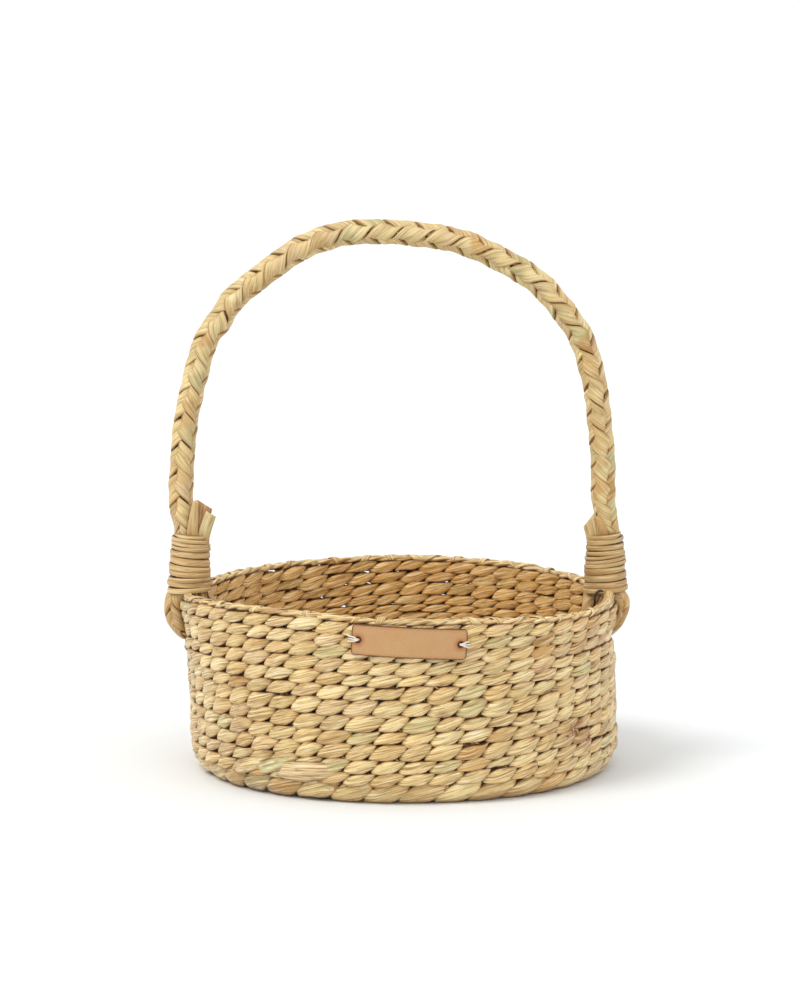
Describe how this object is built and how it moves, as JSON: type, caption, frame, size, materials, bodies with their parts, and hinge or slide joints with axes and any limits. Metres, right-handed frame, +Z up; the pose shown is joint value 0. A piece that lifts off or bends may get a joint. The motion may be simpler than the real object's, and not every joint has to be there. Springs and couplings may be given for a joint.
{
  "type": "basket",
  "caption": "Round, low woven seagrass basket with an upright braided bow handle bound on at each side and a blank leather tag.",
  "frame": {"origin": "middle of the base's underside, where the basket stands", "axes": "+Z up, the handle stands in the XZ plane, the front with the tag faces -Y"},
  "size_m": [0.2843, 0.2609, 0.3327],
  "materials": {
    "stake": "rough dry stem",
    "wall_weft": "dry seagrass strand, slightly glossy",
    "base_weft": "dry seagrass strand",
    "foot_rope": "dry seagrass rope",
    "rim_strand": "dry seagrass strand",
    "handle_seagrass": "braided seagrass",
    "binding_cord": "twisted seagrass cord",
    "rim_wire": "black",
    "tag_leather": "matt, cut edge dark",
    "tag_thread": "cotton"
  },
  "bodies": {
    "basket": {"stakes": "stake", "wall_weft_01_lower": "wall_weft", "wall_weft_01_upper": "wall_weft", "wall_weft_02_lower": "wall_weft", "wall_weft_02_upper": "wall_weft", "wall_weft_03_lower": "wall_weft", "wall_weft_03_upper": "wall_weft", "wall_weft_04_lower": "wall_weft", "wall_weft_04_upper": "wall_weft", "wall_weft_05_lower": "wall_weft", "wall_weft_05_upper": "wall_weft", "wall_weft_06_lower": "wall_weft", "wall_weft_06_upper": "wall_weft", "wall_weft_07_lower": "wall_weft", "wall_weft_07_upper": "wall_weft", "wall_weft_08_lower": "wall_weft", "wall_weft_08_upper": "wall_weft", "wall_weft_09_lower": "wall_weft", "wall_weft_09_upper": "wall_weft", "wall_weft_10_lower": "wall_weft", "wall_weft_10_upper": "wall_weft", "wall_weft_11_lower": "wall_weft", "wall_weft_11_upper": "wall_weft", "wall_weft_12_lower": "wall_weft", "wall_weft_12_upper": "wall_weft", "base_weft_under": "base_weft", "base_weft_over": "base_weft", "foot_wale": "foot_rope", "rim_border": "rim_strand", "left_rim_wire": "rim_wire", "right_rim_wire": "rim_wire", "leather_tag": "tag_leather", "left_tag_thread": "tag_thread", "right_tag_thread": "tag_thread"},
    "handle": {"handle_braid": "handle_seagrass", "left_binding": "binding_cord", "right_binding": "binding_cord", "left_wide_strand_end": "handle_seagrass", "right_wide_strand_end": "handle_seagrass", "left_narrow_strand_end": "handle_seagrass", "right_narrow_strand_end": "handle_seagrass"}
  },
  "joints": [
    {"name": "handle_lean", "type": "hinge", "parent": "basket", "child": "handle", "pos_m": [0, 0, 0.07996], "axis": [1, 0, 0], "range_deg": [-8, 8]}
  ]
}
